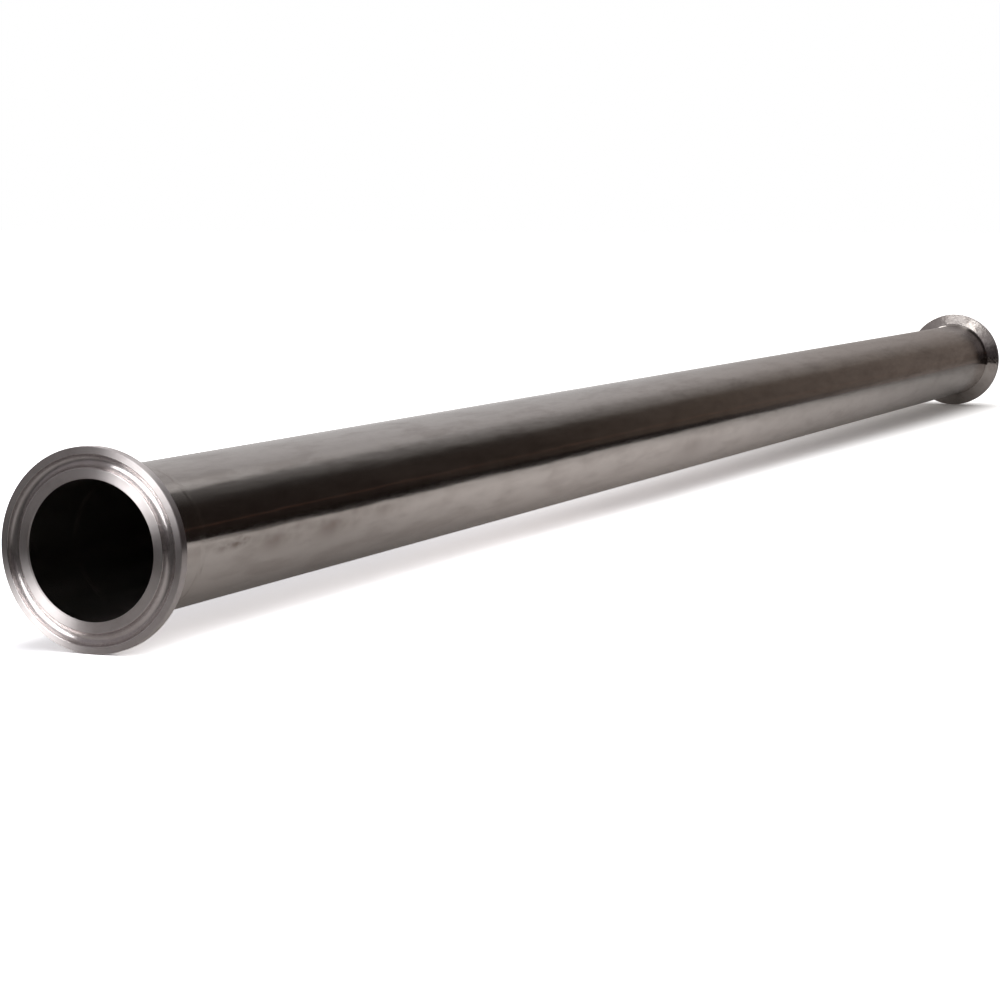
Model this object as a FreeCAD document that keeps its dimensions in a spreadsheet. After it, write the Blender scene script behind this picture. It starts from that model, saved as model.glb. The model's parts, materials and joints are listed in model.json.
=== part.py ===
"""Sanitary spool pipe: a length of stainless tube with a clamp ferrule welded to each end.

The pipe lies along X with the middle of its bore at the origin, and Z is up. Sizes are in
millimetres and degrees. The pieces are the tube, two turned ferrules and the two rings of weld
metal between them, which are flush in the bore and stand a hair proud outside.
"""
import FreeCAD
import Part
import Sketcher
import enum
import os

from FreeCAD import Placement, Rotation, Vector

PARTS_FOLDER = "parts"
FULL_TURN = 360
HALF_TURN = 180
SAME = 1e-4  # two lengths closer than this, in millimetres, are the same


class SketchAxis(enum.IntEnum):
    """Sketcher's numbers for a sketch's own two axes."""
    HORIZONTAL = -1
    VERTICAL = -2


class SketchPoint(enum.IntEnum):
    """Sketcher's numbers for the points of a line, an arc or a circle."""
    START = 1
    END = 2
    CENTRE = 3


ORIGIN = (SketchAxis.HORIZONTAL, SketchPoint.START)

# Driving dimensions: alias, value and what it measures
SIZES = (
    ("overall_length", 914.4, "sealing face to sealing face, 36 inches"),
    ("tube_diameter", 38.1, "outside of the tube and of the ferrules' necks, 1.5 inches"),
    ("wall_thickness", 1.65, "wall of the tube and of the necks"),
    ("ferrule_length", 21.5, "sealing face to the middle of the weld"),
    ("flange_height", 6.2, "how far the flange stands out from the tube, all round"),
    ("rim_width", 2.85, "sealing face to the back corner of the rim"),
    ("clamp_angle", 20.0, "slope of the flange's back, from square to the pipe"),
    ("neck_fillet", 1.6, "radius between the flange's back and the neck"),
    ("outer_land", 1.9, "flat ring of the face outside the gasket groove"),
    ("groove_radius", 1.6, "half-round gasket groove"),
    ("groove_lip_round", 0.2, "radius on the two lips of the gasket groove"),
    ("rim_round", 0.3, "radius on the face's outer edge"),
    ("back_round", 0.4, "radius on the back corner of the rim"),
    ("bore_bevel", 0.3, "bevel at the mouth of the bore"),
    ("weld_width", 2.6, "weld metal, measured along the pipe"),
    ("weld_crown", 0.06, "how far the weld stands proud of the tube"),
)

# Radii from the pipe's axis, and places along it from a sealing face
TUBE_RADIUS = "(Sizes.tube_diameter / 2)"
BORE_RADIUS = f"({TUBE_RADIUS} - Sizes.wall_thickness)"
MOUTH_RADIUS = f"({BORE_RADIUS} + Sizes.bore_bevel)"
FLANGE_RADIUS = f"({TUBE_RADIUS} + Sizes.flange_height)"
GROOVE_CENTRE = f"({FLANGE_RADIUS} - Sizes.outer_land - Sizes.groove_radius)"
GROOVE_INSIDE = f"({GROOVE_CENTRE} - Sizes.groove_radius)"
GROOVE_OUTSIDE = f"({GROOVE_CENTRE} + Sizes.groove_radius)"
SEALING_FACE = "0"
RIM_BACK = "Sizes.rim_width"
NECK_ROOT = "(Sizes.rim_width + Sizes.flange_height * tan(Sizes.clamp_angle * 1 deg))"
WELD_START = "(Sizes.ferrule_length - Sizes.weld_width / 2)"
WELD_END = "(Sizes.ferrule_length + Sizes.weld_width / 2)"
TUBE_LENGTH = f"(Sizes.overall_length - 2 * {WELD_END})"
WELD_CROWN_RADIUS = "((Sizes.weld_width ^ 2 / 4 + Sizes.weld_crown ^ 2) / (2 * Sizes.weld_crown))"

# Which way each end's pieces are turned about Z, and where their sealing face stands along X
ENDS = {
    "near": (0, "-Sizes.overall_length / 2"),
    "far": (HALF_TURN, "Sizes.overall_length / 2"),
}


def make_sheet(doc):
    """Put every driving dimension in the document's spreadsheet, under its alias."""
    sheet = doc.addObject("Spreadsheet::Sheet", "Sizes")
    for row, (alias, value, meaning) in enumerate(SIZES, start=1):
        sheet.set(f"A{row}", alias)
        sheet.set(f"B{row}", str(value))
        sheet.set(f"C{row}", meaning)
        sheet.setAlias(f"B{row}", alias)
    doc.recompute()
    return sheet


def number(sheet, formula):
    """Work out a formula on the sheet's aliases."""
    result = sheet.evalExpression(formula)
    return getattr(result, "Value", result)


def point(sheet, along, radius):
    """A point of a section, from the formulas for its place along the pipe and its radius."""
    return Vector(number(sheet, along), number(sheet, radius), 0)


def make_sketch(body, name, role="XZ_Plane"):
    """Add an empty sketch on one of the body's own origin planes."""
    plane = next(feature for feature in body.Origin.OriginFeatures if feature.Role == role)
    sketch = body.newObject("Sketcher::SketchObject", name)
    sketch.AttachmentSupport = (plane, [""])
    sketch.MapMode = "FlatFace"
    return sketch


def bind(sketch, sheet, name, formula, kind, *geometry):
    """Add a named constraint whose size follows a formula on the sheet."""
    constraint = Sketcher.Constraint(kind, *geometry, number(sheet, formula))
    sketch.renameConstraint(sketch.addConstraint(constraint), name)
    sketch.setExpression(f"Constraints.{name}", formula)


def join(sketch, first, first_point, second, second_point):
    """Keep a point of one line or arc on a point of another."""
    sketch.addConstraint(Sketcher.Constraint("Coincident", first, first_point, second, second_point))


def draw_lines(sketch, sheet, corners, closed):
    """Draw straight lines from corner to corner, and hold each corner by its two formulas.

    A corner is its name, its place along the pipe and its radius. Returns the lines' numbers.
    """
    points = [point(sheet, along, radius) for _, along, radius in corners]
    ends = points[1:] + points[:1] if closed else points[1:]
    lines = [sketch.addGeometry(Part.LineSegment(*pair), False) for pair in zip(points, ends)]
    for before, after in zip(lines, lines[1:]):
        join(sketch, before, SketchPoint.END, after, SketchPoint.START)
    held = [(line, SketchPoint.START) for line in lines]
    if closed:
        join(sketch, lines[-1], SketchPoint.END, lines[0], SketchPoint.START)
    else:
        held.append((lines[-1], SketchPoint.END))
    for (name, along, radius), corner in zip(corners, held):
        if along == SEALING_FACE:
            sketch.addConstraint(Sketcher.Constraint("PointOnObject", *corner, SketchAxis.VERTICAL))
        else:
            bind(sketch, sheet, f"{name}_along", along, "DistanceX", *ORIGIN, *corner)
        bind(sketch, sheet, f"{name}_radius", radius, "DistanceY", *ORIGIN, *corner)
    return lines


def round_corner(sketch, sheet, line, name, radius):
    """Round the corner at the start of a line. The sharp corner's own point stays held."""
    keep_corner = True
    sketch.fillet(line, SketchPoint.START, number(sheet, radius), True, keep_corner)
    arc = sketch.GeometryCount - 2
    bind(sketch, sheet, name, radius, "Radius", arc)


def draw_circle(sketch, sheet, name, radius):
    """Draw a circle whose radius follows a formula. Returns its number."""
    circle = Part.Circle(Vector(0, 0, 0), Vector(0, 0, 1), number(sheet, radius))
    index = sketch.addGeometry(circle, False)
    bind(sketch, sheet, f"{name}_radius", radius, "Radius", index)
    return index


def turn(body, sketch, name, kind="PartDesign::Revolution"):
    """Turn a section fully round the pipe's axis, to make metal or to take it away."""
    feature = body.newObject(kind, name)
    feature.Profile = sketch
    feature.ReferenceAxis = (sketch, ["H_Axis"])
    feature.Angle = FULL_TURN
    body.Document.recompute()
    return feature


def is_ring(edge, along, radius):
    """Tell whether an edge is a circle round the pipe's axis at this place and radius."""
    if not isinstance(edge.Curve, Part.Circle):
        return False
    return abs(edge.Curve.Center.x - along) < SAME and abs(edge.Curve.Radius - radius) < SAME


def round_ring(body, sheet, base, name, along, radius, size):
    """Round the ring of the feature below that lies at a place along the pipe and a radius."""
    along, radius = number(sheet, along), number(sheet, radius)
    numbered = enumerate(base.Shape.Edges, start=1)
    edges = [f"Edge{count}" for count, edge in numbered if is_ring(edge, along, radius)]
    if not edges:
        raise RuntimeError(f"{body.Label} has no ring for its {name}")
    feature = body.newObject("PartDesign::Fillet", name)
    feature.Base = (base, edges)
    feature.setExpression("Radius", size)
    body.Document.recompute()
    return feature


def set_at_end(body, end):
    """Put a piece that was made with its sealing face at zero at one end of the pipe."""
    angle, place = ENDS[end]
    body.Placement = Placement(Vector(0, 0, 0), Rotation(Vector(0, 0, 1), angle))
    body.setExpression("Placement.Base.x", place)


def make_tube(doc, sheet):
    """The plain tube: a ring pushed out both ways from the middle of the pipe."""
    body = doc.addObject("PartDesign::Body", "tube")
    section = make_sketch(body, "tube_section", "YZ_Plane")
    for name, radius in (("outside", TUBE_RADIUS), ("bore", BORE_RADIUS)):
        circle = draw_circle(section, sheet, name, radius)
        join(section, circle, SketchPoint.CENTRE, *ORIGIN)
    pad = body.newObject("PartDesign::Pad", "drawn_tube")
    pad.Profile = section
    pad.Midplane = True
    pad.setExpression("Length", TUBE_LENGTH)
    doc.recompute()
    return body


def make_ferrule(doc, sheet, end):
    """A clamp ferrule: a turned blank with a half-round gasket groove cut in its face."""
    body = doc.addObject("PartDesign::Body", f"{end}_ferrule")
    outline = make_sketch(body, f"{end}_ferrule_section")
    _, _, face_edge, rim_back, neck_root, _, _ = draw_lines(outline, sheet, [
        ("bore_start", "Sizes.bore_bevel", BORE_RADIUS),
        ("bore_mouth", SEALING_FACE, MOUTH_RADIUS),
        ("face_edge", SEALING_FACE, FLANGE_RADIUS),
        ("rim_back", RIM_BACK, FLANGE_RADIUS),
        ("neck_root", NECK_ROOT, TUBE_RADIUS),
        ("neck_end", WELD_START, TUBE_RADIUS),
        ("bore_end", WELD_START, BORE_RADIUS),
    ], closed=True)
    round_corner(outline, sheet, neck_root, "neck_fillet", "Sizes.neck_fillet")
    round_corner(outline, sheet, rim_back, "back_round", "Sizes.back_round")
    round_corner(outline, sheet, face_edge, "rim_round", "Sizes.rim_round")
    turn(body, outline, f"{end}_blank")

    groove = make_sketch(body, f"{end}_groove_section")
    circle = draw_circle(groove, sheet, "groove", "Sizes.groove_radius")
    centre = (circle, SketchPoint.CENTRE)
    groove.addConstraint(Sketcher.Constraint("PointOnObject", *centre, SketchAxis.VERTICAL))
    bind(groove, sheet, "centre_radius", GROOVE_CENTRE, "DistanceY", *ORIGIN, *centre)
    feature = turn(body, groove, f"{end}_gasket_groove", "PartDesign::Groove")
    for lip, radius in (("inner", GROOVE_INSIDE), ("outer", GROOVE_OUTSIDE)):
        name = f"{end}_groove_{lip}_lip"
        feature = round_ring(body, sheet, feature, name, SEALING_FACE, radius, "Sizes.groove_lip_round")
    set_at_end(body, end)
    return body


def make_weld_seam(doc, sheet, end):
    """The ring of weld metal between a neck and the tube, with a low round crown outside."""
    body = doc.addObject("PartDesign::Body", f"{end}_weld_seam")
    section = make_sketch(body, f"{end}_weld_section")
    lines = draw_lines(section, sheet, [
        ("neck_side", WELD_START, TUBE_RADIUS),
        ("neck_bore", WELD_START, BORE_RADIUS),
        ("tube_bore", WELD_END, BORE_RADIUS),
        ("tube_side", WELD_END, TUBE_RADIUS),
    ], closed=False)
    crown = Part.Arc(
        point(sheet, WELD_START, TUBE_RADIUS),
        point(sheet, "Sizes.ferrule_length", f"{TUBE_RADIUS} + Sizes.weld_crown"),
        point(sheet, WELD_END, TUBE_RADIUS),
    )
    arc = section.addGeometry(crown, False)
    join(section, arc, SketchPoint.END, lines[0], SketchPoint.START)
    join(section, arc, SketchPoint.START, lines[-1], SketchPoint.END)
    bind(section, sheet, "crown_radius", WELD_CROWN_RADIUS, "Radius", arc)
    turn(body, section, f"{end}_weld_metal")
    set_at_end(body, end)
    return body


def check(doc, bodies):
    """Stop if any object of the document failed, or if a piece isn't one valid solid."""
    for item in doc.Objects:
        if "Invalid" in item.State or "Error" in item.State:
            raise RuntimeError(f"{item.Label} is {item.State}")
    for body in bodies:
        if body.Shape.isNull() or not body.Shape.isValid() or len(body.Shape.Solids) != 1:
            raise RuntimeError(f"{body.Label} is not one valid solid")


def main():
    """Build the document, check it and write one STEP file for each piece."""
    doc = FreeCAD.newDocument("sanitary_spool_pipe")
    sheet = make_sheet(doc)
    bodies = [make_tube(doc, sheet)]
    for end in ENDS:
        bodies.append(make_ferrule(doc, sheet, end))
        bodies.append(make_weld_seam(doc, sheet, end))
    doc.recompute()
    check(doc, bodies)
    os.makedirs(PARTS_FOLDER, exist_ok=True)
    for body in bodies:
        body.Shape.exportStep(os.path.join(PARTS_FOLDER, f"{body.Label}.step"))
        print(f"{body.Label}: {body.Shape.Volume / 1000:.3f} cm3")


main()
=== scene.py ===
"""The looks of the sanitary spool pipe: polished tube, turned clamp ferrules and dressed welds.

The pipe lies along X on its two rims, with the middle of its bore at the origin and Z up. All
sizes are in metres. Each piece is turned: its section through the pipe's axis is worked out from
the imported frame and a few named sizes, and one Geometry Nodes tree turns the section round the axis.
"""
from __future__ import annotations

import json
import logging
import math
from dataclasses import dataclass, field
from enum import Enum

import bpy
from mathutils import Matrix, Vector

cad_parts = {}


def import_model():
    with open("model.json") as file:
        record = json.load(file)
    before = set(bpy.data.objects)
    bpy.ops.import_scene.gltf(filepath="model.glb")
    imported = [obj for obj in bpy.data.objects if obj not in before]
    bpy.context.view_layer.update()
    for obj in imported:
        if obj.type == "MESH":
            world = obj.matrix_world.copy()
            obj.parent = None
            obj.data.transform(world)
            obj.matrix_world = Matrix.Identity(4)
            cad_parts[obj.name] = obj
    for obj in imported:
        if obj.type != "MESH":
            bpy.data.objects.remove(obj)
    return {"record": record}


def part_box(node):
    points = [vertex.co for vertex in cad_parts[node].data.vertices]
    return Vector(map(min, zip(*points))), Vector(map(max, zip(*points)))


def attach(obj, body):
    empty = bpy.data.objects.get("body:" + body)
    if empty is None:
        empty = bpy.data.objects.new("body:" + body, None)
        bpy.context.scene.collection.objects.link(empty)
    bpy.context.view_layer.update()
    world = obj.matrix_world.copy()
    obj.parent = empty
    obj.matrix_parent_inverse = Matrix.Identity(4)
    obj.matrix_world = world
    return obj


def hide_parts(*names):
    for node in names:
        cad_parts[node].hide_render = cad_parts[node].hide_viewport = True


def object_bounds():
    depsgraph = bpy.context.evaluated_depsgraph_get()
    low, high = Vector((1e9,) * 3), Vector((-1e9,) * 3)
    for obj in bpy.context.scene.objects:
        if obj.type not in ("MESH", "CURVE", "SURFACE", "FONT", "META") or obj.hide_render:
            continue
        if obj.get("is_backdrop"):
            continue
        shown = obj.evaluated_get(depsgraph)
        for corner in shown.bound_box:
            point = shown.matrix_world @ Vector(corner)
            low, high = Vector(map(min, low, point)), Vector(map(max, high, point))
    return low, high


LOG = logging.getLogger("spool_pipe")

MM = 0.001
BODY = "root"
Colour = tuple[float, float, float, float]
Socket = bpy.types.NodeSocket
Inputs = dict[str | int, object]
WHITE: Colour = (1.0, 1.0, 1.0, 1.0)
BLACK: Colour = (0.0, 0.0, 0.0, 1.0)
END_WALL: Colour = (0.235, 0.195, 0.175, 1.0)


class End(Enum):
    """The two ends of the pipe, and the way that each one's pieces are turned about Z."""

    NEAR = 1.0
    FAR = -1.0

    @property
    def word(self) -> str:
        """The end's name, as the frame's nodes spell it."""
        return self.name.lower()


class Slot(Enum):
    """The record's material slots."""

    TUBE = "polished_tube"
    FERRULE = "turned_ferrule"
    WELD = "dressed_weld"


@dataclass(frozen=True)
class Fade:
    """A smooth change between two places, with a value before the first and one after the last."""

    start: float
    end: float
    before: float = 0.0
    after: float = 1.0


@dataclass
class Graph:
    """A node tree with short calls that add nodes, set their sockets and join them."""

    tree: bpy.types.NodeTree

    def node(self, kind: str, inputs: Inputs | None = None, **settings: object) -> bpy.types.Node:
        """Add a node.

        Args:
            kind: The node's type.
            inputs: For each input, a value or the output that feeds it.
            settings: The node's own settings.

        Returns:
            The new node.
        """
        node = self.tree.nodes.new(kind)
        for name, value in settings.items():
            setattr(node, name, value)
        for key, value in (inputs or {}).items():
            self.feed(node.inputs[key], value)
        return node

    def feed(self, target: Socket, value: object) -> None:
        """Link an output to an input, or set the input to a plain value."""
        if isinstance(value, bpy.types.NodeSocket):
            self.tree.links.new(value, target)
        else:
            target.default_value = value

    def math(self, operation: str, *values: object) -> Socket:
        """Add a Math node on one to three values, and return its result."""
        return self.node("ShaderNodeMath", dict(enumerate(values)), operation=operation).outputs[0]

    def vector(self, operation: str, *values: object) -> Socket:
        """Add a Vector Math node on one or two vectors, and return its vector."""
        return self.node("ShaderNodeVectorMath", dict(enumerate(values)), operation=operation).outputs[0]

    def length(self, vector: Socket) -> Socket:
        """Measure a vector, and return its length."""
        return self.node("ShaderNodeVectorMath", {0: vector}, operation="LENGTH").outputs["Value"]

    def split(self, vector: Socket) -> bpy.types.bpy_prop_collection:
        """Split a vector, and return its X, Y and Z outputs."""
        return self.node("ShaderNodeSeparateXYZ", {0: vector}).outputs

    def join(self, x: object, y: object, z: object = 0.0) -> Socket:
        """Join up to three values, and return the vector."""
        return self.node("ShaderNodeCombineXYZ", {"X": x, "Y": y, "Z": z}).outputs[0]

    def integer(self, operation: str, *values: object) -> Socket:
        """Add an Integer Math node, and return its result."""
        return self.node("FunctionNodeIntegerMath", dict(enumerate(values)), operation=operation).outputs[0]

    def compare(self, value: Socket, operation: str, limit: object) -> Socket:
        """Compare a value with a limit, and return the answer."""
        inputs = {0: value, 1: limit}
        return self.node("FunctionNodeCompare", inputs, data_type="FLOAT", operation=operation).outputs[0]

    def ramp(self, value: Socket, fade: Fade) -> Socket:
        """Read a fade at a value, and return the result."""
        inputs = {
            "Value": value,
            "From Min": fade.start,
            "From Max": fade.end,
            "To Min": fade.before,
            "To Max": fade.after,
        }
        return self.node("ShaderNodeMapRange", inputs, interpolation_type="SMOOTHSTEP").outputs["Result"]

    def mix(self, factor: object, first: object, second: object) -> Socket:
        """Mix two colours, and return the result."""
        node = self.node("ShaderNodeMix", data_type="RGBA")
        for name, value in (("Factor_Float", factor), ("A_Color", first), ("B_Color", second)):
            self.feed(next(socket for socket in node.inputs if socket.identifier == name), value)
        return next(socket for socket in node.outputs if socket.identifier == "Result_Color")

    def colours(self, factor: Socket, stops: list[tuple[float, Colour]]) -> Socket:
        """Read a colour from a ramp of stops, each a place from 0 to 1 and its colour."""
        node = self.node("ShaderNodeValToRGB", {"Fac": factor})
        elements = node.color_ramp.elements
        while len(elements) < len(stops):
            elements.new(1.0)
        for element, (place, colour) in zip(elements, stops):
            element.position = place
            element.color = colour
        return node.outputs["Color"]


def new_group(
    name: str, kind: str, inputs: dict[str, tuple[str, object]], outputs: dict[str, str]
) -> Graph:
    """Start a node group.

    Args:
        name: The group's name.
        kind: The type of tree.
        inputs: For each input, its socket type and default (None where it has none).
        outputs: For each output, its socket type.

    Returns:
        The group's graph, with no nodes in it yet.
    """
    tree = bpy.data.node_groups.new(name, kind)
    for label, (socket_type, default) in inputs.items():
        socket = tree.interface.new_socket(label, in_out="INPUT", socket_type=socket_type)
        if default is not None:
            socket.default_value = default
    for label, socket_type in outputs.items():
        tree.interface.new_socket(label, in_out="OUTPUT", socket_type=socket_type)
    return Graph(tree)


@dataclass
class Pipe:
    """The pipe's main sizes, read from the frame."""

    half_length: float
    tube_radius: float
    bore_radius: float
    flange_radius: float
    ferrule_end: float
    weld_end: float

    @property
    def flange_height(self) -> float:
        """How far the flange stands out from the tube."""
        return self.flange_radius - self.tube_radius

    @classmethod
    def from_frame(cls, record: dict) -> Pipe:
        """Read the sizes.

        Args:
            record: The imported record, whose flow_bore mount gives the bore.

        Returns:
            The pipe's sizes, with the ends of ferrule and weld measured from the sealing face.
        """
        low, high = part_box("far_ferrule")
        bore = next(mount for mount in record["mounts"] if mount["name"] == "flow_bore")
        return cls(
            half_length=high.x,
            tube_radius=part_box("tube")[1].z,
            bore_radius=bore["dims"]["r_mm"] * MM,
            flange_radius=high.z,
            ferrule_end=high.x - low.x,
            weld_end=high.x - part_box("far_weld_seam")[0].x,
        )


def arc(centre: Vector, radius: float, start: float, end: float, steps: int) -> list[Vector]:
    """Points along an arc of a section.

    Args:
        centre: The arc's centre, as a place along the pipe and a distance from its axis.
        radius: The arc's radius.
        start: The first point's angle in radians, from the way along the pipe towards outwards.
        end: The last point's angle.
        steps: How many straight steps the arc has.

    Returns:
        The arc's points, both ends included.
    """
    angles = [start + (end - start) * step / steps for step in range(steps + 1)]
    return [centre + radius * Vector((math.cos(angle), math.sin(angle))) for angle in angles]


def rounded(before: Vector, corner: Vector, after: Vector, radius: float, steps: int = 8) -> list[Vector]:
    """Points of the round that replaces a corner between two straight runs.

    Args:
        before: A point on the run that comes to the corner.
        corner: The sharp corner.
        after: A point on the run that leaves it.
        radius: The radius of the round.
        steps: How many straight steps the round has.

    Returns:
        The round's points, from one run to the other.
    """
    back, forth = (before - corner).normalized(), (after - corner).normalized()
    half = back.angle(forth) / 2
    middle = (back + forth).normalized()
    centre = corner + middle * radius / math.sin(half)
    first = corner + back * radius / math.tan(half) - centre
    last = corner + forth * radius / math.tan(half) - centre
    start = math.atan2(first.y, first.x)
    turn = math.remainder(math.atan2(last.y, last.x) - start, math.tau)
    return arc(centre, radius, start, start + turn, steps)


@dataclass
class Section:
    """A closed outline in a plane through the pipe's axis, in the order that makes faces point outwards."""

    points: list[Vector] = field(default_factory=list)
    guard: float = 0.015 * MM

    def guarded(self) -> list[Vector]:
        """Add a point close to each end of every straight run, so that smooth shading stays flat between.

        Returns:
            All points of the closed outline.
        """
        result = []
        for here, there in zip(self.points, self.points[1:] + self.points[:1]):
            result.append(here)
            run = there - here
            if run.length > 4 * self.guard:
                step = run.normalized() * self.guard
                result += [here + step, there - step]
        return result

    def mesh(self, name: str) -> bpy.types.Mesh:
        """Make a mesh of the outline's points alone, with X along the pipe and Z outwards."""
        mesh = bpy.data.meshes.new(name)
        mesh.from_pydata([(point.x, 0.0, point.y) for point in self.guarded()], [], [])
        return mesh


class Lathe:
    """The Geometry Nodes tree that turns a section round the pipe's axis.

    Points closer than SEAM are merged where the turn closes. No piece is as long as BEYOND_ALL, so a
    polish that starts there covers none of it.
    """

    SEAM = 1e-7
    BEYOND_ALL = 1.0

    def __init__(self) -> None:
        """Build the tree."""
        graph = new_group(
            "Turned Piece",
            "GeometryNodeTree",
            {
                "Section": ("NodeSocketGeometry", None),
                "Steps": ("NodeSocketInt", 256),
                "Face Place": ("NodeSocketFloat", 0.0),
                "Way": ("NodeSocketFloat", 1.0),
                "Finish": ("NodeSocketMaterial", None),
                "Polish From": ("NodeSocketFloat", 0.0),
                "Polish": ("NodeSocketMaterial", None),
                "Groove Inner": ("NodeSocketFloat", 0.0),
                "Groove Outer": ("NodeSocketFloat", 0.0),
                "Groove Depth": ("NodeSocketFloat", 0.0),
                "Groove Finish": ("NodeSocketMaterial", None),
            },
            {"Piece": "NodeSocketGeometry"},
        )
        self.tree = graph.tree
        self.tree.is_modifier = True
        given = graph.node("NodeGroupInput").outputs
        outline = {"Geometry": given["Section"]}
        size = graph.node("GeometryNodeAttributeDomainSize", outline, component="MESH")
        count = size.outputs["Point Count"]
        row, column = graph.integer("ADD", given["Steps"], 1), graph.integer("ADD", count, 1)
        grid = graph.node("GeometryNodeMeshGrid", {"Vertices X": row, "Vertices Y": column})
        index = graph.node("GeometryNodeInputIndex").outputs[0]
        step = graph.integer("DIVIDE_FLOOR", index, column)
        corner = graph.integer("MODULO", graph.integer("MODULO", index, column), count)
        sample = graph.node(
            "GeometryNodeSampleIndex",
            {**outline, "Index": corner},
            data_type="FLOAT_VECTOR",
            domain="POINT",
        )
        position = graph.node("GeometryNodeInputPosition").outputs[0]
        graph.feed(next(s for s in sample.inputs if s.name == "Value" and s.enabled), position)
        point = graph.split(next(s for s in sample.outputs if s.enabled))
        angle = graph.math("MULTIPLY", graph.math("DIVIDE", step, given["Steps"]), -math.tau)
        outward = graph.math("MULTIPLY", point["Z"], given["Way"])
        place = graph.join(
            graph.math("MULTIPLY_ADD", point["X"], given["Way"], given["Face Place"]),
            graph.math("MULTIPLY", outward, graph.math("SINE", angle)),
            graph.math("MULTIPLY", point["Z"], graph.math("COSINE", angle)),
        )
        mesh = graph.node("GeometryNodeSetPosition", {"Geometry": grid.outputs["Mesh"], "Position": place})
        ring = {"Geometry": mesh.outputs[0], "Distance": self.SEAM}
        mesh = graph.node("GeometryNodeMergeByDistance", ring)
        mesh = graph.node("GeometryNodeSetShadeSmooth", {"Geometry": mesh.outputs[0]})
        mesh = graph.node("GeometryNodeRealizeInstances", {"Geometry": mesh.outputs[0]})
        here = graph.split(graph.node("GeometryNodeInputPosition").outputs[0])
        depth = graph.math("MULTIPLY", graph.math("SUBTRACT", here["X"], given["Face Place"]), given["Way"])
        off_axis = graph.math("POWER", here["Y"], 2.0), graph.math("POWER", here["Z"], 2.0)
        radius = graph.math("SQRT", graph.math("ADD", *off_axis))
        beyond = graph.compare(depth, "GREATER_THAN", given["Polish From"])
        above_inner = graph.compare(radius, "GREATER_THAN", given["Groove Inner"])
        below_outer = graph.compare(radius, "LESS_THAN", given["Groove Outer"])
        shallow = graph.compare(depth, "LESS_THAN", given["Groove Depth"])
        in_groove = graph.math("MULTIPLY", graph.math("MULTIPLY", above_inner, below_outer), shallow)
        for selection, finish in ((True, "Finish"), (beyond, "Polish"), (in_groove, "Groove Finish")):
            mesh = graph.node(
                "GeometryNodeSetMaterial",
                {"Geometry": mesh.outputs[0], "Selection": selection, "Material": given[finish]},
            )
        graph.node("NodeGroupOutput", {"Piece": mesh.outputs[0]})

    def turn(
        self,
        name: str,
        section: Section,
        place: float,
        end: End,
        finish: bpy.types.Material,
        zones: dict[str, object] | None = None,
    ) -> bpy.types.Object:
        """Turn a section into a plain mesh piece.

        Args:
            name: The piece's name.
            section: Its outline, measured from the sealing face.
            place: Where that face stands along the pipe.
            end: The end of the pipe, which gives the way that the section runs.
            finish: The finish of the whole piece, apart from its zones.
            zones: The tree's inputs for a polished neck and a finished groove, where the piece has them.

        Returns:
            The finished object, at the origin and with no modifier.
        """
        blank = bpy.data.objects.new(f"{name}_section", section.mesh(f"{name}_section"))
        bpy.context.scene.collection.objects.link(blank)
        modifier = blank.modifiers.new("Turned Piece", "NODES")
        modifier.node_group = self.tree
        unzoned = {"Polish From": self.BEYOND_ALL, "Polish": finish, "Groove Finish": finish}
        values = {"Face Place": place, "Way": end.value, "Finish": finish, **unzoned, **(zones or {})}
        for item in self.tree.interface.items_tree:
            if item.name in values:
                modifier[item.identifier] = values[item.name]
        evaluated = blank.evaluated_get(bpy.context.evaluated_depsgraph_get())
        mesh = bpy.data.meshes.new_from_object(evaluated)
        mesh.name = name
        if mesh.materials[0] is None:
            mesh.materials.pop(index=0)
        bpy.data.objects.remove(blank)
        piece = bpy.data.objects.new(name, mesh)
        bpy.context.scene.collection.objects.link(piece)
        return piece


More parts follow.
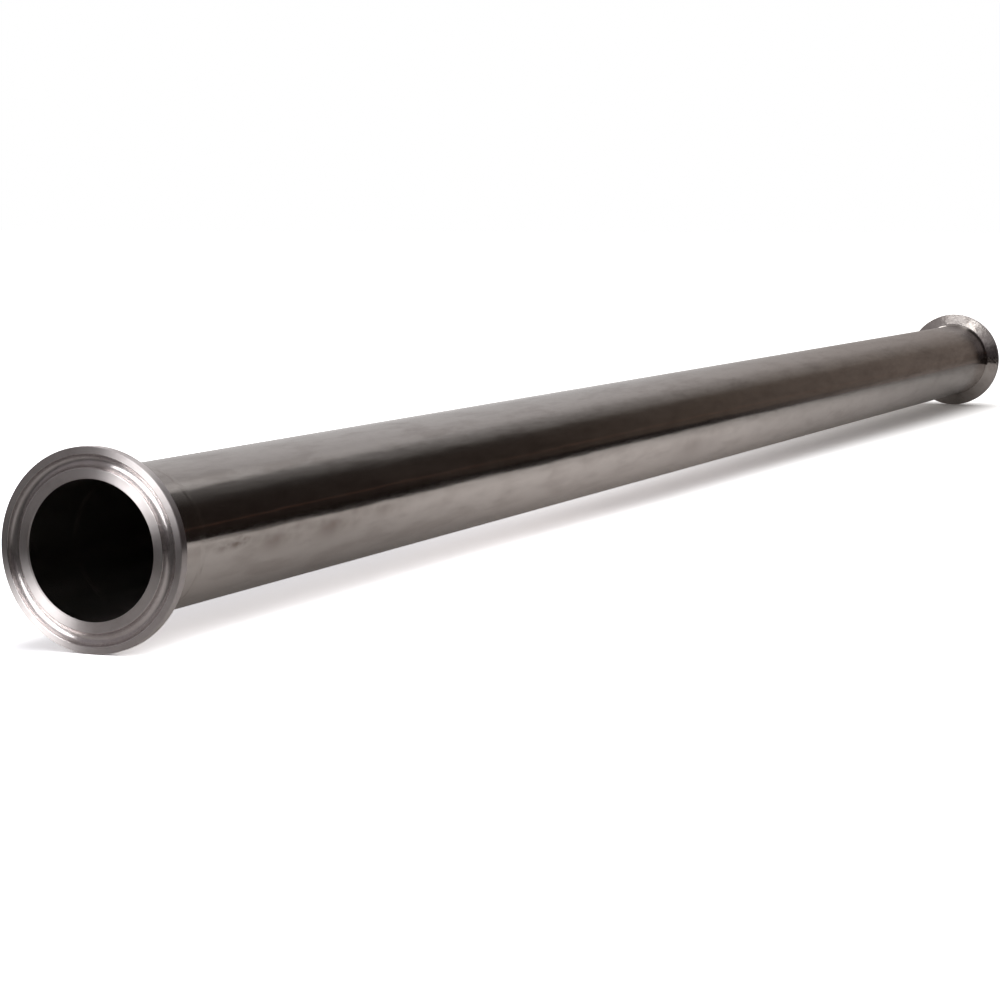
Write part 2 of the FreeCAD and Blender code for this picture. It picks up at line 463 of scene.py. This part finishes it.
class Groups:
    """Shader node groups that more than one finish uses."""

    SHAKE_SCALE = 90.0
    MARK_STRETCH = (0.25, 1.0, 1.0)
    MARK_SMEAR = (0.45, 1.0, 1.0)
    MARK_GRAIN = 1.3
    MARK_EDGE = Fade(1.0, 0.1)
    MARK_TORN = Fade(0.30, 0.72)

    def __init__(self) -> None:
        """Build every group once."""
        self.rings = self.make_rings()
        self.clouds = self.make_clouds()
        self.mark = self.make_mark()

    @classmethod
    def make_rings(cls) -> bpy.types.NodeTree:
        """Fine rings round the pipe's axis, as a tool or a belt leaves them."""
        graph = new_group(
            "Rings",
            "ShaderNodeTree",
            {
                "Vector": ("NodeSocketVector", None),
                "Pitch": ("NodeSocketFloat", 0.0002),
                "Chatter": ("NodeSocketFloat", 0.02),
            },
            {"Height": "NodeSocketFloat"},
        )
        given = graph.node("NodeGroupInput").outputs
        xyz = graph.split(given["Vector"])
        radius = graph.length(graph.join(0.0, xyz["Y"], xyz["Z"]))
        shake = graph.node(
            "ShaderNodeTexNoise", {"Vector": given["Vector"], "Scale": cls.SHAKE_SCALE, "Detail": 1.0}
        ).outputs[0]
        wander = graph.math("MULTIPLY", shake, graph.math("MULTIPLY", given["Chatter"], given["Pitch"]))
        section = graph.join(graph.math("ADD", xyz["X"], wander), graph.math("ADD", radius, wander))
        scale = graph.math("DIVIDE", 1.0, given["Pitch"])
        noise = graph.node(
            "ShaderNodeTexNoise",
            {"Vector": section, "Scale": scale, "Detail": 3.0, "Roughness": 0.6},
            noise_dimensions="2D",
        )
        graph.node("NodeGroupOutput", {"Height": noise.outputs[0]})
        return graph.tree

    @staticmethod
    def make_clouds() -> bpy.types.NodeTree:
        """Soft uneven patches, longer along the pipe than round it."""
        graph = new_group(
            "Clouds",
            "ShaderNodeTree",
            {
                "Vector": ("NodeSocketVector", None),
                "Length": ("NodeSocketFloat", 0.05),
                "Width": ("NodeSocketFloat", 0.01),
                "Detail": ("NodeSocketFloat", 3.0),
            },
            {"Value": "NodeSocketFloat"},
        )
        given = graph.node("NodeGroupInput").outputs
        along = graph.math("DIVIDE", 1.0, given["Length"])
        across = graph.math("DIVIDE", 1.0, given["Width"])
        vector = graph.vector("MULTIPLY", given["Vector"], graph.join(along, across, across))
        noise = graph.node(
            "ShaderNodeTexNoise",
            {"Vector": vector, "Scale": 1.0, "Detail": given["Detail"], "Roughness": 0.55},
        )
        graph.node("NodeGroupOutput", {"Value": noise.outputs[0]})
        return graph.tree

    @classmethod
    def make_mark(cls) -> bpy.types.NodeTree:
        """A soft mask round one place, drawn out along the pipe and broken up by noise."""
        graph = new_group(
            "Mark",
            "ShaderNodeTree",
            {
                "Vector": ("NodeSocketVector", None),
                "Centre": ("NodeSocketVector", None),
                "Reach": ("NodeSocketFloat", 0.004),
            },
            {"Mask": "NodeSocketFloat"},
        )
        given = graph.node("NodeGroupInput").outputs
        offset = graph.vector("SUBTRACT", given["Vector"], given["Centre"])
        distance = graph.length(graph.vector("MULTIPLY", offset, cls.MARK_STRETCH))
        smeared = graph.vector("MULTIPLY", offset, cls.MARK_SMEAR)
        scale = graph.math("DIVIDE", cls.MARK_GRAIN, given["Reach"])
        noise = graph.node("ShaderNodeTexNoise", {"Vector": smeared, "Scale": scale, "Detail": 2.0})
        near = graph.ramp(graph.math("DIVIDE", distance, given["Reach"]), cls.MARK_EDGE)
        torn = graph.ramp(noise.outputs[0], cls.MARK_TORN)
        graph.node("NodeGroupOutput", {"Mask": graph.math("MULTIPLY", near, torn)})
        return graph.tree


@dataclass(frozen=True)
class DarkMark:
    """A darker mark: its place along the tube, its angle up from the camera's side, reach and strength."""

    along: float
    turn: float
    reach: float
    strength: float

    def centre(self, radius: float) -> Vector:
        """Work out where the mark's middle is on a surface of this radius."""
        angle = math.radians(self.turn)
        return Vector((self.along, -radius * math.cos(angle), radius * math.sin(angle)))


@dataclass(frozen=True)
class Steel:
    """A stainless steel finish: how light it is and how it smears what it reflects.

    The smear is turned by a quarter, which makes it run along a tube and radially over a face.
    """

    PATCHED = Fade(0.42, 0.72)
    SPECKLED = Fade(0.45, 0.75)
    SPECKLE_SHARE = 0.25
    QUARTER_TURN = 0.25

    name: str
    colour: Colour
    stain: Colour
    stained: float
    roughness: float
    unevenness: float
    smear: float
    ring_pitch: float
    ring_depth: float
    wave_length: float
    wave_width: float
    wave_depth: float
    grain_length: float
    grain_width: float
    grain_depth: float
    dark_marks: tuple[DarkMark, ...] = ()

    def material(self, groups: Groups) -> bpy.types.Material:
        """Build the finish as a material.

        Args:
            groups: The shared shader node groups.

        Returns:
            The new material.
        """
        material = bpy.data.materials.new(self.name)
        material.use_nodes = True
        material.node_tree.nodes.clear()
        graph = Graph(material.node_tree)
        vector = graph.node("ShaderNodeTexCoord").outputs["Object"]
        rings = self.group(graph, groups.rings, {"Vector": vector, "Pitch": self.ring_pitch})
        clouds, fine, patches = (
            self.group(graph, groups.clouds, {"Vector": vector, "Length": length, "Width": width})
            for length, width in (
                (self.wave_length, self.wave_width),
                (self.grain_length, self.grain_width),
                (self.wave_length / 3, self.wave_width / 2),
            )
        )
        broad = graph.math("SUBTRACT", clouds, 0.5)
        dull = graph.math("MULTIPLY_ADD", broad, 2 * self.unevenness, self.roughness)
        roughness = graph.math("MULTIPLY_ADD", graph.math("SUBTRACT", fine, 0.5), self.unevenness, dull)
        patched = graph.math("MULTIPLY", graph.ramp(patches, self.PATCHED), self.stained)
        speckle = self.stained * self.SPECKLE_SHARE
        speckled = graph.math("MULTIPLY", graph.ramp(fine, self.SPECKLED), speckle)
        darkened_share = graph.math("ADD", patched, speckled)
        for dark_mark in self.dark_marks:
            spot = {"Vector": vector, "Centre": dark_mark.centre(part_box("tube")[1].z), "Reach": dark_mark.reach}
            mask = self.group(graph, groups.mark, spot)
            darkened_share = graph.math("MAXIMUM", darkened_share, graph.math("MULTIPLY", mask, dark_mark.strength))
        colour = graph.mix(darkened_share, self.colour, self.stain)
        normal = None
        waves, grain = (clouds, self.wave_depth), (fine, self.grain_depth)
        for height, depth in (waves, grain, (rings, self.ring_depth)):
            bump = graph.node("ShaderNodeBump", {"Height": height, "Distance": depth, "Strength": 1.0})
            if normal:
                graph.feed(bump.inputs["Normal"], normal)
            normal = bump.outputs[0]
        tangent = graph.node("ShaderNodeTangent", direction_type="RADIAL", axis="X")
        shader = graph.node(
            "ShaderNodeBsdfPrincipled",
            {
                "Base Color": colour,
                "Metallic": 1.0,
                "Roughness": roughness,
                "Anisotropic": self.smear,
                "Anisotropic Rotation": self.QUARTER_TURN,
                "Tangent": tangent.outputs[0],
                "Normal": normal,
            },
        )
        graph.node("ShaderNodeOutputMaterial", {"Surface": shader.outputs[0]})
        return material

    @staticmethod
    def group(graph: Graph, tree: bpy.types.NodeTree, inputs: dict[str, object]) -> Socket:
        """Place a shared group in a material, and return its only output."""
        node = graph.node("ShaderNodeGroup", node_tree=tree)
        for name, value in inputs.items():
            graph.feed(node.inputs[name], value)
        return node.outputs[0]


POLISHED = Steel(
    name="polished_steel",
    colour=(0.64, 0.60, 0.57, 1.0),
    stain=(0.26, 0.205, 0.18, 1.0),
    stained=0.3,
    roughness=0.15,
    unevenness=0.05,
    smear=0.9,
    ring_pitch=0.15 * MM,
    ring_depth=0.0002 * MM,
    wave_length=70 * MM,
    wave_width=9 * MM,
    wave_depth=0.15 * MM,
    grain_length=6 * MM,
    grain_width=1.6 * MM,
    grain_depth=0.005 * MM,
    dark_marks=(
        DarkMark(along=-418 * MM, turn=-4.0, reach=2.5 * MM, strength=1.0),
        DarkMark(along=-425 * MM, turn=-5.0, reach=2.5 * MM, strength=0.6),
        DarkMark(along=-395 * MM, turn=-5.0, reach=7 * MM, strength=0.75),
        DarkMark(along=-362 * MM, turn=-4.0, reach=8 * MM, strength=0.85),
        DarkMark(along=-330 * MM, turn=-2.0, reach=6 * MM, strength=0.6),
        DarkMark(along=-52 * MM, turn=-11.0, reach=12 * MM, strength=0.6),
    ),
)
TURNED = Steel(
    name="turned_steel",
    colour=(0.68, 0.64, 0.635, 1.0),
    stain=(0.48, 0.43, 0.42, 1.0),
    stained=0.3,
    roughness=0.46,
    unevenness=0.04,
    smear=1.0,
    ring_pitch=0.15 * MM,
    ring_depth=0.004 * MM,
    wave_length=8 * MM,
    wave_width=8 * MM,
    wave_depth=0.02 * MM,
    grain_length=1.5 * MM,
    grain_width=1.5 * MM,
    grain_depth=0.002 * MM,
)
GROOVED = Steel(
    name="grooved_steel",
    colour=(0.68, 0.64, 0.635, 1.0),
    stain=(0.48, 0.43, 0.42, 1.0),
    stained=0.3,
    roughness=0.23,
    unevenness=0.03,
    smear=1.0,
    ring_pitch=0.2 * MM,
    ring_depth=0.002 * MM,
    wave_length=8 * MM,
    wave_width=8 * MM,
    wave_depth=0.02 * MM,
    grain_length=1.5 * MM,
    grain_width=1.5 * MM,
    grain_depth=0.002 * MM,
)
WELD = Steel(
    name="dressed_weld_steel",
    colour=(0.62, 0.58, 0.55, 1.0),
    stain=(0.36, 0.30, 0.27, 1.0),
    stained=0.4,
    roughness=0.18,
    unevenness=0.06,
    smear=0.8,
    ring_pitch=0.3 * MM,
    ring_depth=0.001 * MM,
    wave_length=6 * MM,
    wave_width=6 * MM,
    wave_depth=0.05 * MM,
    grain_length=1.5 * MM,
    grain_width=1.5 * MM,
    grain_depth=0.006 * MM,
)


@dataclass
class Ferrule:
    """A turned clamp ferrule, measured from its sealing face like the one in the frame."""

    pipe: Pipe
    rim_width: float = 2.85 * MM
    clamp_angle: float = math.radians(20.0)
    neck_fillet: float = 1.6 * MM
    outer_land: float = 1.9 * MM
    groove_radius: float = 1.6 * MM
    lip_round: float = 0.2 * MM
    rim_round: float = 0.3 * MM
    back_round: float = 0.4 * MM
    bore_bevel: float = 0.3 * MM
    groove_steps: int = 28
    neck_steps: int = 12
    lip_steps: int = 6

    @property
    def groove_middle(self) -> float:
        """The radius of the gasket groove's middle line."""
        return self.pipe.flange_radius - self.outer_land - self.groove_radius

    @property
    def groove_reach(self) -> float:
        """How far the groove and a lip's round reach from that line."""
        return self.groove_radius + self.lip_round

    def section(self) -> Section:
        """Work out the outline, from the bore's mouth over the face, the rim and the neck and back."""
        pipe = self.pipe
        slope = pipe.flange_height * math.tan(self.clamp_angle)
        face_edge = Vector((0.0, pipe.flange_radius))
        rim_back = Vector((self.rim_width, pipe.flange_radius))
        neck_root = Vector((self.rim_width + slope, pipe.tube_radius))
        neck_end = Vector((pipe.ferrule_end, pipe.tube_radius))
        mouth = Vector((0.0, pipe.bore_radius + self.bore_bevel))
        points = [Vector((self.bore_bevel, pipe.bore_radius)), mouth]
        points += self.groove()
        points += rounded(mouth, face_edge, rim_back, self.rim_round)
        points += rounded(face_edge, rim_back, neck_root, self.back_round)
        points += rounded(rim_back, neck_root, neck_end, self.neck_fillet, self.neck_steps)
        points += [neck_end, Vector((pipe.ferrule_end, pipe.bore_radius))]
        return Section(points)

    def groove(self) -> list[Vector]:
        """Work out the half-round gasket groove, from its inner rounded lip to its outer one."""
        centre = Vector((0.0, self.groove_middle))
        spread = math.sqrt(self.groove_reach**2 - self.lip_round**2)
        lean = math.asin(self.lip_round / self.groove_reach)
        inner = centre + Vector((self.lip_round, -spread))
        outer = centre + Vector((self.lip_round, spread))
        half_turn, quarter = math.pi, math.pi / 2
        return [
            *arc(inner, self.lip_round, half_turn, quarter + lean, self.lip_steps),
            *arc(centre, self.groove_radius, lean - quarter, quarter - lean, self.groove_steps)[1:-1],
            *arc(outer, self.lip_round, -quarter - lean, -half_turn, self.lip_steps),
        ]

    def make(self, lathe: Lathe, end: End, dress: dict[str, bpy.types.Material]) -> bpy.types.Object:
        """Turn the ferrule of one end, and put it in its node's place.

        Args:
            lathe: The tree that turns it.
            end: Its end of the pipe.
            dress: The finishes by name.

        Returns:
            The finished ferrule.
        """
        place = -end.value * self.pipe.half_length
        zones = {
            "Polish From": self.rim_width,
            "Polish": dress[POLISHED.name],
            "Groove Inner": self.groove_middle - self.groove_reach,
            "Groove Outer": self.groove_middle + self.groove_reach,
            "Groove Depth": self.groove_reach,
            "Groove Finish": dress[GROOVED.name],
        }
        name, finish = f"{end.word}_clamp_ferrule", dress[TURNED.name]
        piece = lathe.turn(name, self.section(), place, end, finish, zones)
        return fit(piece, f"{end.word}_ferrule")


@dataclass
class WeldBead:
    """The ring of weld metal between a neck and the tube."""

    pipe: Pipe
    crown: float = 0.012 * MM
    steps: int = 16

    def section(self) -> Section:
        """Work out the outline: flush in the bore, and a low swell outside that runs out level."""
        start, end, bore = self.pipe.ferrule_end, self.pipe.weld_end, self.pipe.bore_radius
        swell = []
        for step in range(self.steps + 1):
            share = step / self.steps
            height = self.crown * (1.0 - math.cos(math.tau * share)) / 2
            swell.append(Vector((start + share * (end - start), self.pipe.tube_radius + height)))
        return Section([*swell, Vector((end, bore)), Vector((start, bore))])

    def make(self, lathe: Lathe, end: End, finish: bpy.types.Material) -> bpy.types.Object:
        """Turn the bead of one end, and put it in its node's place."""
        place = -end.value * self.pipe.half_length
        piece = lathe.turn(f"{end.word}_weld_bead", self.section(), place, end, finish)
        return fit(piece, f"{end.word}_weld_seam")


@dataclass
class Tube:
    """The drawn tube between the two welds."""

    pipe: Pipe

    def section(self) -> Section:
        """Work out the outline of the tube's wall."""
        start, end = self.pipe.weld_end, 2 * self.pipe.half_length - self.pipe.weld_end
        outside, bore = self.pipe.tube_radius, self.pipe.bore_radius
        corners = ((start, outside), (end, outside), (end, bore), (start, bore))
        return Section([Vector(corner) for corner in corners])

    def make(self, lathe: Lathe, finish: bpy.types.Material) -> bpy.types.Object:
        """Make the tube, and put it in its node's place."""
        piece = lathe.turn("drawn_tube", self.section(), -self.pipe.half_length, End.NEAR, finish)
        return fit(piece, "tube")


def fit(piece: bpy.types.Object, node: str) -> bpy.types.Object:
    """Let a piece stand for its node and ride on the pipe's body."""
    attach(piece, BODY)
    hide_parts(node)
    LOG.info("%s: %d faces", piece.name, len(piece.data.polygons))
    return piece


@dataclass
class Softbox:
    """A studio light that the steel mirrors. The white room lights the floor."""

    name: str
    place: Vector
    target: Vector
    width: float
    height: float
    radiance: float

    def make(self) -> bpy.types.Object:
        """Make the light, with its power worked out from how bright its cloth is."""
        light = bpy.data.lights.new(self.name, "AREA")
        light.shape = "RECTANGLE"
        light.size = self.width
        light.size_y = self.height
        light.energy = self.radiance * math.pi * self.width * self.height
        lamp = bpy.data.objects.new(self.name, light)
        bpy.context.scene.collection.objects.link(lamp)
        lamp.location = self.place
        lamp.rotation_euler = (self.target - self.place).to_track_quat("-Z", "Y").to_euler()
        lamp.visible_diffuse = False
        return lamp


@dataclass
class Room:
    """The room round the pipe: white to the eye, and grey and brown where the steel mirrors it.

    A reflection's turn is its angle round the pipe, up from the horizon on the camera's side. Its heading
    is the share of it that points to the pipe's far end, 1 when it runs straight along the pipe.
    """

    ambient: float = 0.6
    end_side: Colour = (0.18, 0.125, 0.085, 1.0)
    glint: Colour = (0.60, 0.585, 0.58, 1.0)
    behind: Colour = (0.18, 0.16, 0.167, 1.0)
    beside: Colour = (0.035, 0.030, 0.032, 1.0)
    band_top: Fade = Fade(math.radians(30.0), math.radians(55.0))
    band_lowered: Fade = Fade(0.86, 0.93, 0.0, math.radians(6.0))
    band_raised: Fade = Fade(0.895, 0.862, 0.0, math.radians(9.0))
    wall_heading: Fade = Fade(math.cos(math.radians(22.0)), math.cos(math.radians(9.0)))
    wall_middle: Fade = Fade(0.95, 0.975)
    glint_heading: Fade = Fade(0.88, 0.856)
    glint_foot: Fade = Fade(math.radians(71.0), math.radians(77.0))
    glint_head: Fade = Fade(math.radians(96.0), math.radians(83.0))
    behind_heading: Fade = Fade(-0.15, -0.65, 0.0, 0.85)
    beside_height: Fade = Fade(0.30, 0.18)
    beside_front: Fade = Fade(-0.30, -0.40)

    @staticmethod
    def ring() -> list[tuple[float, Colour]]:
        """Give the room's colours round the pipe, with each turn in degrees made a place in the ramp."""
        degrees = {
            -180.0: (0.75, 0.74, 0.74),
            -12.0: (0.40, 0.39, 0.38),
            -8.0: (0.013, 0.009, 0.008),
            11.6: (0.011, 0.008, 0.007),
            12.4: (0.09, 0.045, 0.032),
            13.2: (0.011, 0.008, 0.007),
            44.0: (0.014, 0.011, 0.010),
            59.0: (0.030, 0.027, 0.025),
            70.0: (0.19, 0.183, 0.18),
            82.0: (0.27, 0.26, 0.26),
            96.0: (0.41, 0.395, 0.395),
            120.0: (0.50, 0.485, 0.485),
            150.0: (0.52, 0.505, 0.505),
            166.0: (0.60, 0.59, 0.59),
            180.0: (0.90, 0.89, 0.89),
        }
        return [((angle + 180.0) / 360.0, (*colour, 1.0)) for angle, colour in degrees.items()]

    def sides(self, graph: Graph, heading: Socket, turn: Socket) -> Socket:
        """Colour the ring, its dark band's upper edge drawn down the pipe, and the wall at the far end."""
        lowered, raised = graph.ramp(heading, self.band_lowered), graph.ramp(heading, self.band_raised)
        drawn = graph.math("SUBTRACT", lowered, raised)
        drawn = graph.math("MULTIPLY", drawn, graph.ramp(turn, self.band_top))
        share = graph.math("MULTIPLY_ADD", graph.math("ADD", turn, drawn), 1.0 / math.tau, 0.5)
        wall = graph.mix(graph.ramp(heading, self.wall_middle), self.end_side, END_WALL)
        return graph.mix(graph.ramp(heading, self.wall_heading), graph.colours(share, self.ring()), wall)

    def glint_share(self, graph: Graph, heading: Socket, turn: Socket) -> Socket:
        """Mask the glint just over the dark band near the near end."""
        foot, head = graph.ramp(turn, self.glint_foot), graph.ramp(turn, self.glint_head)
        near = graph.ramp(heading, self.glint_heading)
        return graph.math("MULTIPLY", graph.math("MULTIPLY", foot, head), near)

    def rear(self, graph: Graph, y: Socket, z: Socket) -> Socket:
        """Colour what lies behind the camera, with a dark corner low on its side."""
        low = graph.ramp(graph.math("ABSOLUTE", z), self.beside_height)
        corner = graph.math("MULTIPLY", graph.ramp(y, self.beside_front), low)
        return graph.mix(corner, self.behind, self.beside)

    def make(self) -> None:
        """Make the world: white for the camera, even for the floor, and the room for reflections."""
        world = bpy.data.worlds.new("studio")
        bpy.context.scene.world = world
        world.use_nodes = True
        world.node_tree.nodes.clear()
        world.cycles.sampling_method = "NONE"
        graph = Graph(world.node_tree)
        way = graph.node("ShaderNodeTexCoord").outputs["Generated"]
        xyz = graph.split(way)
        heading, y, z = xyz["X"], xyz["Y"], xyz["Z"]
        turn = graph.math("ARCTAN2", z, graph.math("MULTIPLY", y, -1.0))
        sides = self.sides(graph, heading, turn)
        room = graph.mix(self.glint_share(graph, heading, turn), sides, self.glint)
        room = graph.mix(graph.ramp(heading, self.behind_heading), room, self.rear(graph, y, z))
        path = graph.node("ShaderNodeLightPath").outputs
        ambient = (self.ambient, self.ambient, self.ambient, 1.0)
        seen = graph.mix(path["Is Diffuse Ray"], room, ambient)
        seen = graph.mix(path["Is Camera Ray"], seen, WHITE)
        background = graph.node("ShaderNodeBackground", {"Color": seen, "Strength": 1.0})
        graph.node("ShaderNodeOutputWorld", {"Surface": background.outputs[0]})


@dataclass
class Board:
    """The pale board that the pipe lies on. The steel sees it end in front of the pipe.

    The eye sees it white but for the pipe's shade, which is partly real, where the pipe keeps the room's
    even light off the board, and partly painted shade: a glow by distance from the pipe sets how far it
    reaches, and the colour of each stretch along the pipe sets how deep it is. The steel sees it plain,
    with painted shade under the pipe and painted dimming in some places.
    """

    height: float
    pipe_end: float
    size: float = 30.0
    # Painted shade: the eye's colours of the board, one for each stretch, set how deep the pipe's shade
    # shows there.
    rear: Colour = (1.90, 1.89, 1.95, 1.0)
    front: Colour = (3.67, 3.66, 3.73, 1.0)
    middle: Colour = (2.38, 2.37, 2.42, 1.0)
    far: Colour = (1.02, 0.98, 0.95, 1.0)
    tint: Colour = (1.08, 1.02, 0.99, 1.0)
    dark: Colour = (0.010, 0.007, 0.006, 1.0)
    front_side: Fade = Fade(0.020, -0.006)
    middle_along: Fade = Fade(-0.30, -0.05)
    far_along: Fade = Fade(-0.25, 0.45)
    # Painted shade: the glow that makes the board white begins at these distances from the pipe, which sets
    # how far the shade reaches.
    shade: Fade = Fade(0.004, 0.034)
    shade_along: Fade = Fade(0.0, 0.4, 1.0, 0.75)
    shade_inset: float = 0.0082
    shade_rear: float = 0.018
    shade_behind: float = 1.5
    # Painted dimming and painted shade of the board as the steel sees it: darker past and towards the near
    # end, towards the far end, away from the pipe, just under it and further in front of it.
    painted_dim_along: tuple[Fade, ...] = (
        Fade(-0.47, -0.56, 1.0, 0.12),
        Fade(-0.34, -0.14, 0.74, 1.0),
        Fade(0.0, 0.25, 1.0, 0.78),
        Fade(0.2, 0.6, 1.0, 0.5),
    )
    painted_dim_away: Fade = Fade(0.15, 0.6, 1.0, 0.55)
    painted_shade_under: Fade = Fade(-0.022, 0.0, 1.0, 0.82)
    painted_dim_outer: Fade = Fade(-0.045, -0.085, 1.0, 0.80)
    edge: Fade = Fade(-0.125, -0.135)
    corner_slope: float = 1.6
    corner_side: Fade = Fade(-0.422, -0.46)
    corner_end: Fade = Fade(-0.30, -0.26)
    wall_aside: Fade = Fade(0.33, 0.20)
    least_along: float = 0.01

    def make(self) -> bpy.types.Object:
        """Make the board with its material, and leave it out of the model."""
        half = self.size / 2
        ways = ((-half, -half), (half, -half), (half, half), (-half, half))
        corners = [(x, y, self.height) for x, y in ways]
        mesh = bpy.data.meshes.new("floor")
        mesh.from_pydata(corners, [], [(0, 1, 2, 3)])
        mesh.materials.append(self.material())
        floor = bpy.data.objects.new("floor", mesh)
        bpy.context.scene.collection.objects.link(floor)
        floor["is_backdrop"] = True
        return floor

    def distance(self, graph: Graph, x: Socket, y: Socket) -> Socket:
        """Measure how far a place is from the strip under the pipe, which is all in shade."""
        aft = graph.math("MULTIPLY", graph.math("SUBTRACT", y, self.shade_rear), self.shade_behind)
        past_side = graph.math("MAXIMUM", graph.math("MULTIPLY", y, -1.0), aft)
        past_end = graph.math("SUBTRACT", graph.math("ABSOLUTE", x), self.pipe_end - self.shade_inset)
        away = (graph.math("MAXIMUM", past, 0.0) for past in (past_end, past_side))
        return graph.length(graph.join(*away))

    def mirrored(self, graph: Graph, x: Socket, y: Socket, distance: Socket, corner: Socket) -> Socket:
        """Colour the board as the steel sees it: plain, with painted dimming away from the pipe's middle
        and painted shade under the pipe.
        """
        painted_dimness = graph.ramp(distance, self.painted_dim_away)
        for fade in self.painted_dim_along:
            painted_dimness = graph.math("MULTIPLY", painted_dimness, graph.ramp(x, fade))
        painted_dimness = graph.math("MULTIPLY", painted_dimness, graph.ramp(y, self.painted_shade_under))
        painted_dimness = graph.math("MULTIPLY", painted_dimness, graph.math("MAXIMUM", graph.ramp(y, self.painted_dim_outer), corner))
        return graph.mix(painted_dimness, BLACK, self.tint)

    def bright(self, graph: Graph, x: Socket, y: Socket) -> Socket:
        """Colour the board as the eye sees it, with one colour for each stretch along the pipe, which
        paints how deep the pipe's shade shows there.
        """
        near = graph.mix(graph.ramp(y, self.front_side), self.rear, self.front)
        far = graph.mix(graph.ramp(x, self.far_along), self.middle, self.far)
        return graph.mix(graph.ramp(x, self.middle_along), near, far)

    def beyond(self, graph: Graph, y: Socket, corner: Socket) -> Socket:
        """Mask what lies past the board's front edge, apart from the corner that reaches further."""
        kept = graph.math("MULTIPLY", corner, graph.ramp(y, self.corner_end))
        return graph.math("MULTIPLY", graph.ramp(y, self.edge), graph.math("SUBTRACT", 1.0, kept))

    def past(self, graph: Graph, x: Socket, y: Socket) -> Socket:
        """Colour what the steel sees past the edge: dark at the side, and the end wall along the pipe."""
        along = graph.math("MAXIMUM", x, self.least_along)
        aside = graph.math("DIVIDE", graph.math("MULTIPLY", y, -1.0), along)
        return graph.mix(graph.ramp(aside, self.wall_aside), self.dark, END_WALL)

    def material(self) -> bpy.types.Material:
        """Build the board's material."""
        material = bpy.data.materials.new("pale_board")
        material.use_nodes = True
        material.node_tree.nodes.clear()
        material.cycles.emission_sampling = "NONE"
        graph = Graph(material.node_tree)
        path = graph.node("ShaderNodeLightPath").outputs
        xyz = graph.split(graph.node("ShaderNodeTexCoord").outputs["Object"])
        x, y = xyz["X"], xyz["Y"]
        distance = self.distance(graph, x, y)
        corner = graph.ramp(graph.math("MULTIPLY_ADD", y, self.corner_slope, x), self.corner_side)
        # The steel sees the board with painted dimming and painted shade.
        plain = self.mirrored(graph, x, y, distance, corner)
        colour = graph.mix(path["Is Camera Ray"], plain, self.bright(graph, x, y))
        board = graph.node("ShaderNodeBsdfDiffuse", {"Color": colour}).outputs[0]
        # Painted shade: the glow lifts the board to white away from the pipe, and leaves the shade only
        # near it.
        outside = graph.ramp(graph.math("MULTIPLY", distance, graph.ramp(x, self.shade_along)), self.shade)
        strength = graph.math("MULTIPLY", path["Is Camera Ray"], outside)
        glow = graph.node("ShaderNodeEmission", {"Color": WHITE, "Strength": strength}).outputs[0]
        lit = graph.node("ShaderNodeAddShader", {0: board, 1: glow}).outputs[0]
        hidden = graph.math("MULTIPLY", self.beyond(graph, y, corner), path["Is Glossy Ray"])
        mirrored = {"Color": self.past(graph, x, y), "Strength": 1.0}
        past = graph.node("ShaderNodeEmission", mirrored).outputs[0]
        seen = graph.node("ShaderNodeMixShader", {0: hidden, 1: lit, 2: past}).outputs[0]
        graph.node("ShaderNodeOutputMaterial", {"Surface": seen})
        return material


@dataclass
class Viewpoint:
    """The camera: where it stands, which way it looks, its lens and how near and far it sees."""

    place: Vector = field(default_factory=lambda: Vector((-0.9905, -0.3309, 0.0799)))
    forward: Vector = field(default_factory=lambda: Vector((0.9165, 0.3850, -0.1084)))
    lens: float = 93.61
    sensor: float = 36.0
    nearest: float = 0.01
    furthest: float = 100.0

    def make(self) -> bpy.types.Object:
        """Make the camera and let the scene use it."""
        data = bpy.data.cameras.new("camera")
        data.lens = self.lens
        data.sensor_width = self.sensor
        data.clip_start = self.nearest
        data.clip_end = self.furthest
        camera = bpy.data.objects.new("camera", data)
        bpy.context.scene.collection.objects.link(camera)
        camera.location = self.place
        camera.rotation_euler = self.forward.to_track_quat("-Z", "Y").to_euler()
        bpy.context.scene.camera = camera
        return camera


def main() -> None:
    """Build the pipe and its studio."""
    logging.basicConfig(level=logging.INFO, format="%(name)s: %(message)s")
    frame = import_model()
    frame_box = tuple(corner.copy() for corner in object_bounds())
    pipe = Pipe.from_frame(frame["record"])
    Viewpoint().make()
    bpy.context.scene.view_settings.view_transform = "Standard"

    groups = Groups()
    lathe = Lathe()
    dress = {steel.name: steel.material(groups) for steel in (POLISHED, TURNED, GROOVED, WELD)}
    Tube(pipe).make(lathe, dress[POLISHED.name])
    for end in End:
        Ferrule(pipe).make(lathe, end, dress)
        WeldBead(pipe).make(lathe, end, dress[WELD.name])

    Room().make()
    Board(height=-pipe.flange_radius, pipe_end=pipe.half_length).make()
    near_face, middle = Vector((-pipe.half_length, 0.0, 0.0)), Vector((0.0, 0.0, 0.0))
    key_way, key_distance = Vector((-0.935, 0.118, 0.333)), 5.0
    key_place, back_place = near_face + key_distance * key_way, Vector((0.5, 1.1, 1.4))
    Softbox("key", key_place, near_face, width=2.6, height=2.6, radiance=7.6).make()
    Softbox("back", back_place, middle, width=1.0, height=0.6, radiance=3.0).make()


if __name__ == "__main__":
    main()
